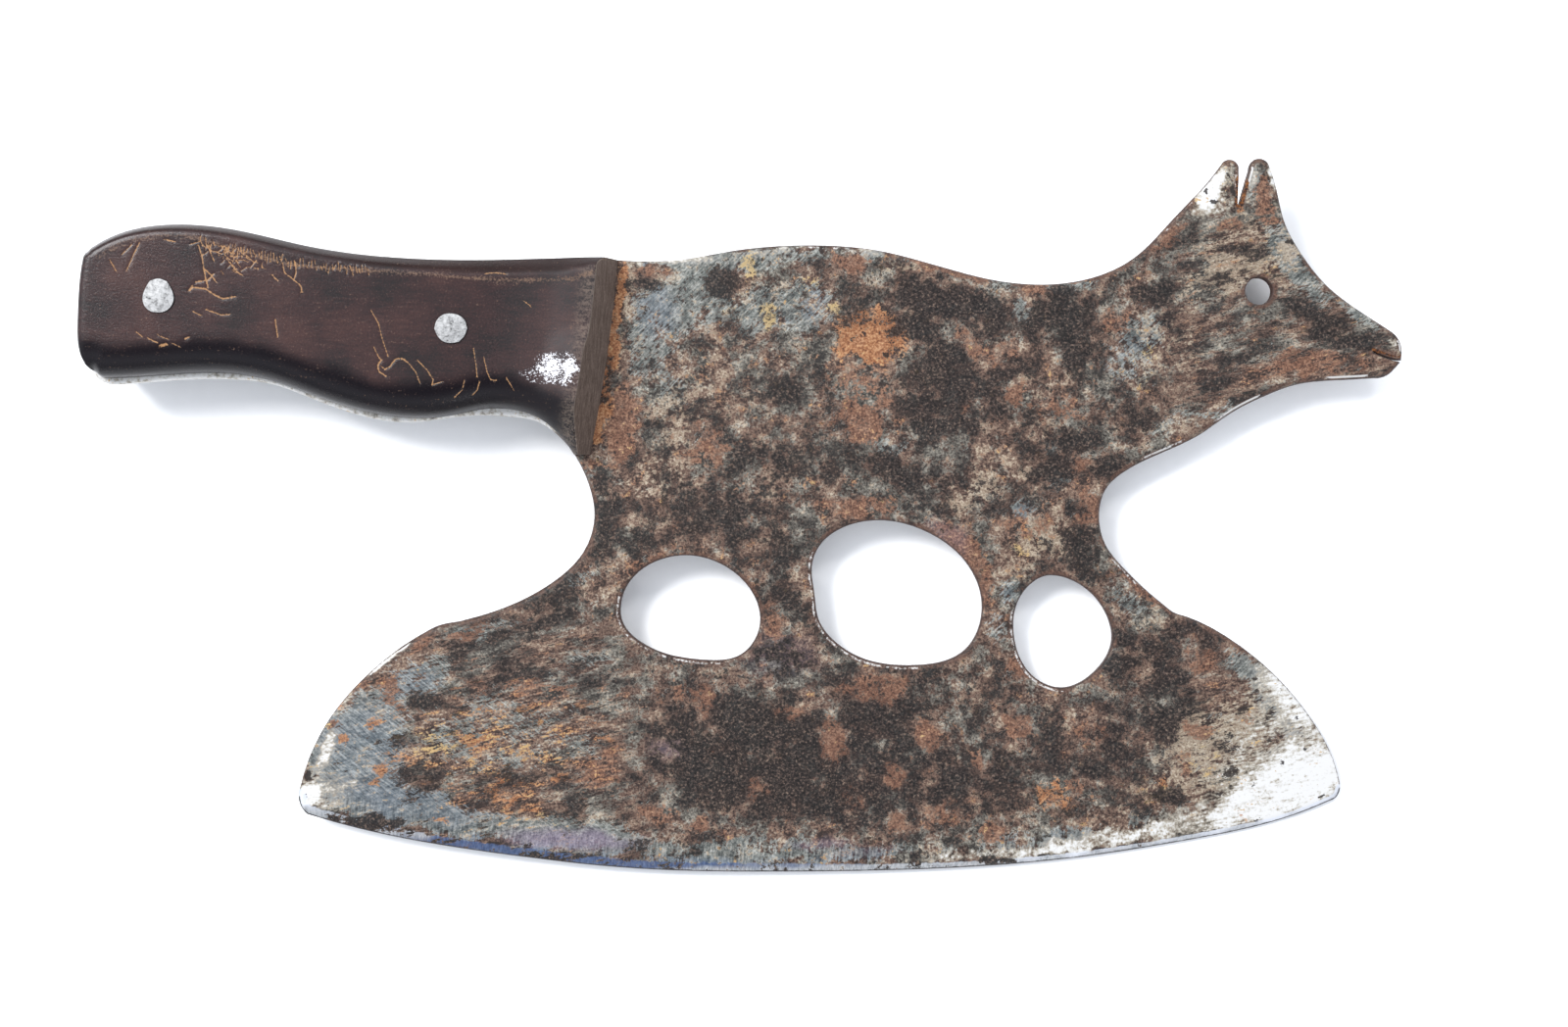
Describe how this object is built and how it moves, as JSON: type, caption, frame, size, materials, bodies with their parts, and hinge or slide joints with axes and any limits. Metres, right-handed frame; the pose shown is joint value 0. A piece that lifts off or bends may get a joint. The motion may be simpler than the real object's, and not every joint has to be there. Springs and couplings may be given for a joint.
{
  "type": "meat cleaver",
  "caption": "Meat cleaver cut from one steel plate in the outline of a cow-like animal, with a wide curved cutting edge, oval holes and a riveted wooden handle.",
  "frame": {"origin": "centre of the bounding box in X and Y, at the level of the back scale's outer face, which is the face that the cleaver rests on", "axes": "+X along the tool from the handle's butt to the animal's muzzle, +Y from the cutting edge to the ears, +Z through the plate's thickness from the back scale to the front scale"},
  "size_m": [0.3371, 0.1824, 0.0212],
  "materials": {
    "steel": "carbon steel with a mottled black, brown and rust patina, brushed bright at the edge and corners",
    "wood": "dark reddish-brown hardwood under glossy varnish, scratched, bare on the front facet",
    "aluminium": "soft rivet ends peened and filed flush, matt with fine scratches"
  },
  "bodies": {
    "root": {"blade": "steel", "front_scale": "wood", "back_scale": "wood", "butt_rivet": "aluminium", "guard_rivet": "aluminium"}
  },
  "joints": []
}
